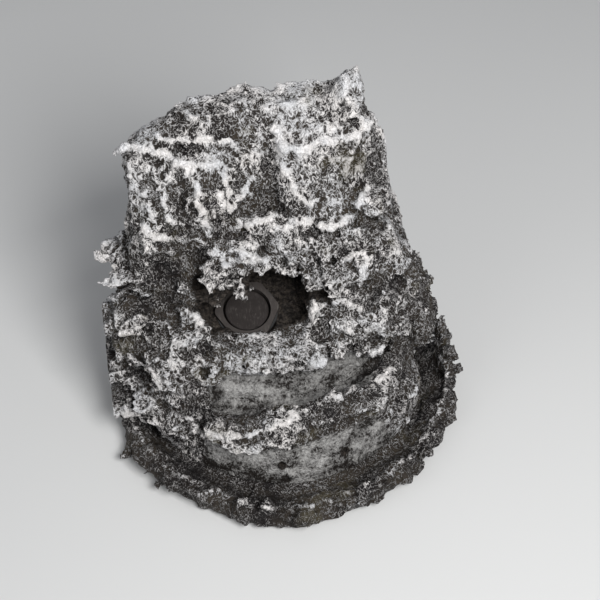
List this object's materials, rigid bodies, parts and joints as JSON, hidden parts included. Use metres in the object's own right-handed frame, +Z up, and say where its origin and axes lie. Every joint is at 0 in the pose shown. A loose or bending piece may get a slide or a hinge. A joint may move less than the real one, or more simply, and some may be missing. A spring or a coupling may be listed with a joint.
{
  "type": "waterfall rock with cave",
  "caption": "Craggy rock waterfall on an oval water tray, with an open cave over a round outlet, stepped pools and a hidden circulation pump under a lift-off rock.",
  "frame": {"origin": "on the ground under the middle of the base casting's outline", "axes": "+Z up, -Y towards the front, where the cave opens and the basins are, +X to the right seen from the front"},
  "size_m": [0.214, 0.176, 0.215],
  "materials": {
    "rock_resin": "cast resin, near-black stain, white dry-brushed ridges, matt",
    "base_resin": "cast resin, near-black stain, white dry-brushed rim, matt",
    "collar_plastic": "moulded, matt, lightly scuffed",
    "cap_plastic": "moulded, matt, fine turned scratches",
    "black_rubber": "matt",
    "clear_hose": "soft vinyl, milky",
    "pump_plastic": "moulded, satin",
    "dial_plastic": "moulded, satin",
    "core_steel": "stacked laminations",
    "winding": "enamelled copper winding, varnished",
    "potting_resin": "poured epoxy, glossy",
    "impeller_plastic": "moulded, satin",
    "magnet": "sintered ferrite, satin",
    "shaft_steel": "ground",
    "bush_ceramic": "polished",
    "foot_rubber": "matt",
    "cup_rubber": "satin"
  },
  "bodies": {
    "base": {"base_basin": "base_resin", "supply_hose": "clear_hose", "pump_housing": "pump_plastic", "pump_volute": "pump_plastic", "pump_stator_core": "core_steel", "pump_coil": "winding", "pump_potting": "potting_resin", "pump_cable_gland": "black_rubber", "pump_seal": "black_rubber", "pump_shaft": "shaft_steel", "pump_bush_front": "bush_ceramic", "pump_bush_rear": "bush_ceramic", "foot_pad_front_left": "foot_rubber", "suction_cup_front_left": "cup_rubber", "foot_pad_front_right": "foot_rubber", "suction_cup_front_right": "cup_rubber", "foot_pad_rear_left": "foot_rubber", "suction_cup_rear_left": "cup_rubber", "foot_pad_rear_right": "foot_rubber", "suction_cup_rear_right": "cup_rubber"},
    "rock": {"rock_body": "rock_resin", "outlet_collar": "collar_plastic", "collar_gasket": "black_rubber"},
    "cap": {"outlet_cap": "cap_plastic"},
    "rotor": {"pump_impeller": "impeller_plastic", "pump_rotor_magnet": "magnet"},
    "grille": {"pump_intake_grille": "pump_plastic"},
    "dial": {"pump_flow_dial": "dial_plastic"}
  },
  "joints": [
    {"name": "rock_lift", "type": "slide", "parent": "base", "child": "rock", "axis": [0, 0, 1], "range_m": [0, 0.12]},
    {"name": "cap_lift", "type": "slide", "parent": "rock", "child": "cap", "axis": [0, -0.2079, 0.9781], "range_m": [0, 0.012]},
    {"name": "impeller_spin", "type": "hinge", "parent": "base", "child": "rotor", "pos_m": [0.02, 0.032, 0.023], "axis": [0, -1, 0], "continuous": true},
    {"name": "grille_pull", "type": "slide", "parent": "base", "child": "grille", "axis": [0, -1, 0], "range_m": [0, 0.006]},
    {"name": "dial_turn", "type": "hinge", "parent": "grille", "child": "dial", "pos_m": [0.02, 0.0127, 0.023], "axis": [0, -1, 0], "range_deg": [0, 90]}
  ]
}
